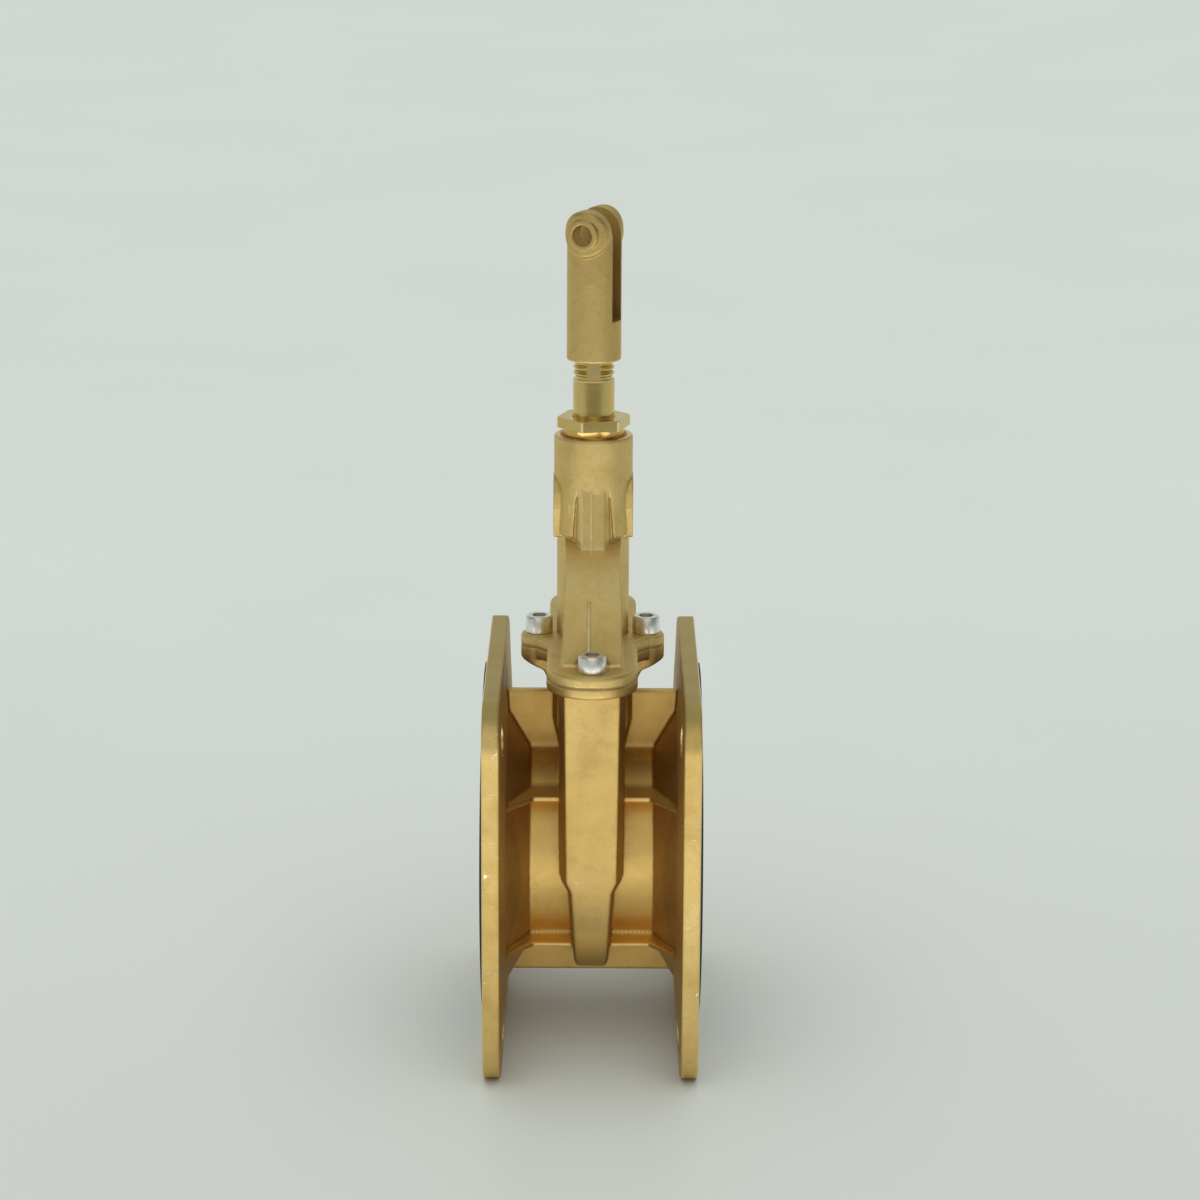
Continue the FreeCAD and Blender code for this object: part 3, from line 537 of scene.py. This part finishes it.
# ---------------------------------------------------------------- soft cast edges
def soften(ob, voxel, smooth, keep):
    """The CAD shape with the rounded edges of a blasted casting."""
    m = ob.modifiers.new("weld", "WELD")
    m.merge_threshold = 0.000002
    m = ob.modifiers.new("cast", "REMESH")
    m.mode = "VOXEL"
    m.voxel_size = voxel
    m.use_smooth_shade = True
    m = ob.modifiers.new("soft", "SMOOTH")
    m.factor = 0.5
    m.iterations = smooth
    if keep < 1.0:
        m = ob.modifiers.new("fewer", "DECIMATE")
        m.ratio = keep


def break_edges(ob, width):
    """A small rounded break on the sharp edges of a machined piece."""
    m = ob.modifiers.new("weld", "WELD")
    m.merge_threshold = 0.000002
    m = ob.modifiers.new("break", "BEVEL")
    m.width = width
    m.segments = 2
    m.limit_method = "ANGLE"
    m.angle_limit = math.radians(38)
    m.harden_normals = False


for name, width in (("gland_nut", 0.00035), ("bonnet_screws", 0.0002)):
    break_edges(nodes[name], width)

soften(nodes["valve_body"], 0.0008, 4, 0.17)
soften(nodes["bonnet"], 0.0005, 3, 0.29)
soften(nodes["fork"], 0.0004, 3, 0.6)


# ---------------------------------------------------------------- stage
class WorldTree(Tree):
    """The same short way for the studio light, coordinates are directions."""

    def __init__(self, name):
        self.world = bpy.data.worlds.new(name)
        self.world.use_nodes = True
        self.t = self.world.node_tree
        self.t.nodes.clear()
        self.out = self.t.nodes.new("ShaderNodeOutputWorld")
        self.bg = self.t.nodes.new("ShaderNodeBackground")
        self.t.links.new(self.bg.outputs[0], self.out.inputs["Surface"])
        self.coord = self.t.nodes.new("ShaderNodeTexCoord").outputs["Generated"]
        self.xyz = None

    def towards(self, azimuth, rise):
        """Cosine of the angle to a direction; azimuth 0 is the front, positive to the right."""
        x, y, z = self.axes()
        a, e = math.radians(azimuth), math.radians(rise)
        d = self.math("MULTIPLY", x, math.sin(a) * math.cos(e))
        d = self.math("ADD", d, self.math("MULTIPLY", y, -math.cos(a) * math.cos(e)))
        return self.math("ADD", d, self.math("MULTIPLY", z, math.sin(e)))


def world():
    t = WorldTree("studio")
    x, y, z = t.axes()
    light = t.ramp(z, 0.20, 0.70, 0.64, 0.26)
    light = t.math("MULTIPLY", light, t.ramp(y, 0.0, 0.50, 0.40, 1.0))
    front = t.ramp(t.towards(0.0, 48.0), 0.66, 0.96)
    light = t.math("ADD", light, t.math("MULTIPLY", front, 0.66))
    top = t.ramp(t.towards(180.0, 62.0), 0.76, 0.96)
    light = t.math("ADD", light, t.math("MULTIPLY", top, 0.42))
    left = t.ramp(t.towards(-70.0, 8.0), 0.90, 0.98)
    right = t.ramp(t.towards(105.0, 8.0), 0.90, 0.98)
    light = t.math("ADD", light, t.math("MULTIPLY", left, 0.30))
    light = t.math("ADD", light, t.math("MULTIPLY", right, 0.05))
    light = t.math("MULTIPLY", light, t.ramp(x, 0.20, 0.90, 1.0, 0.80))
    t.put(t.bg.inputs["Color"], (0.955, 1.0, 0.965))
    t.put(t.bg.inputs["Strength"], light)
    bpy.context.scene.world = t.world


def floor():
    me = bpy.data.meshes.new("floor")
    s = 16.0
    me.from_pydata([(-s, -s, 0), (s, -s, 0), (s, s, 0), (-s, s, 0)], [], [(0, 1, 2, 3)])
    ob = bpy.data.objects.new("floor", me)
    bpy.context.scene.collection.objects.link(ob)
    t = Tree("pale_floor")
    n = t.noise(2.2, 4, 0.55)
    f = t.noise(60, 3, 0.6)
    colour = t.mix(t.ramp(n, 0.3, 0.7), (0.765, 0.800, 0.765), (0.785, 0.820, 0.785))
    colour = t.mix(t.math("MULTIPLY", f, 0.10), colour, (0.730, 0.760, 0.730))
    # painted shade: the floor a little darker towards the front
    colour = t.mix(t.ramp(t.axes()[1], 1.2, -0.5), colour, (0.700, 0.735, 0.700))
    # painted shade: the floor painted dark where the sheet ends, well in front of the part, out of the picture
    colour = t.mix(t.ramp(t.axes()[1], -1.2, -1.5), colour, (0.20, 0.20, 0.19))
    t.surface(colour, t.ramp(n, 0.3, 0.7, 0.40, 0.48), t.bump(f, 0.05, 0.0005), 0.0)
    me.materials.append(t.mat)


world()
floor()
sun = bpy.data.lights.new("ceiling", "SUN")
sun.angle = math.radians(80)
sun.energy = 1.30
sun.color = (1.0, 1.0, 0.985)
sun_ob = bpy.data.objects.new("ceiling", sun)
bpy.context.scene.collection.objects.link(sun_ob)
sun_ob.rotation_euler = (math.radians(12), 0.0, 0.0)
sun_ob.visible_glossy = False       # the metal shows the walls and the sheet, not the ceiling

# white card lying on the sheet in front of the part, out of the picture
card = bpy.data.lights.new("card", "AREA")
card.shape = "RECTANGLE"
card.size, card.size_y = 1.5, 0.50
card.energy = 1.24 * math.pi * 1.5 * 0.50
card_ob = bpy.data.objects.new("card", card)
bpy.context.scene.collection.objects.link(card_ob)
card_ob.location = (0.0, -0.555, 0.003)
card_ob.rotation_euler = (math.pi, 0.0, 0.0)

# ---------------------------------------------------------------- camera
PITCH = math.radians(15.01)
ROLL = math.radians(0.30)
cam_data = bpy.data.cameras.new("camera")
cam_data.sensor_width = 36.0
cam_data.sensor_fit = "HORIZONTAL"
cam_data.lens = 104.58
cam_data.clip_start, cam_data.clip_end = 0.05, 60.0
cam = bpy.data.objects.new("camera", cam_data)
bpy.context.scene.collection.objects.link(cam)
turn = Matrix.Rotation(math.pi / 2 - PITCH, 4, "X") @ Matrix.Rotation(ROLL, 4, "Z")
cam.matrix_world = Matrix.Translation((0.0042, -1.97307, 0.7901)) @ turn
bpy.context.scene.camera = cam
bpy.context.scene.view_settings.view_transform = "Standard"

bpy.context.view_layer.update()
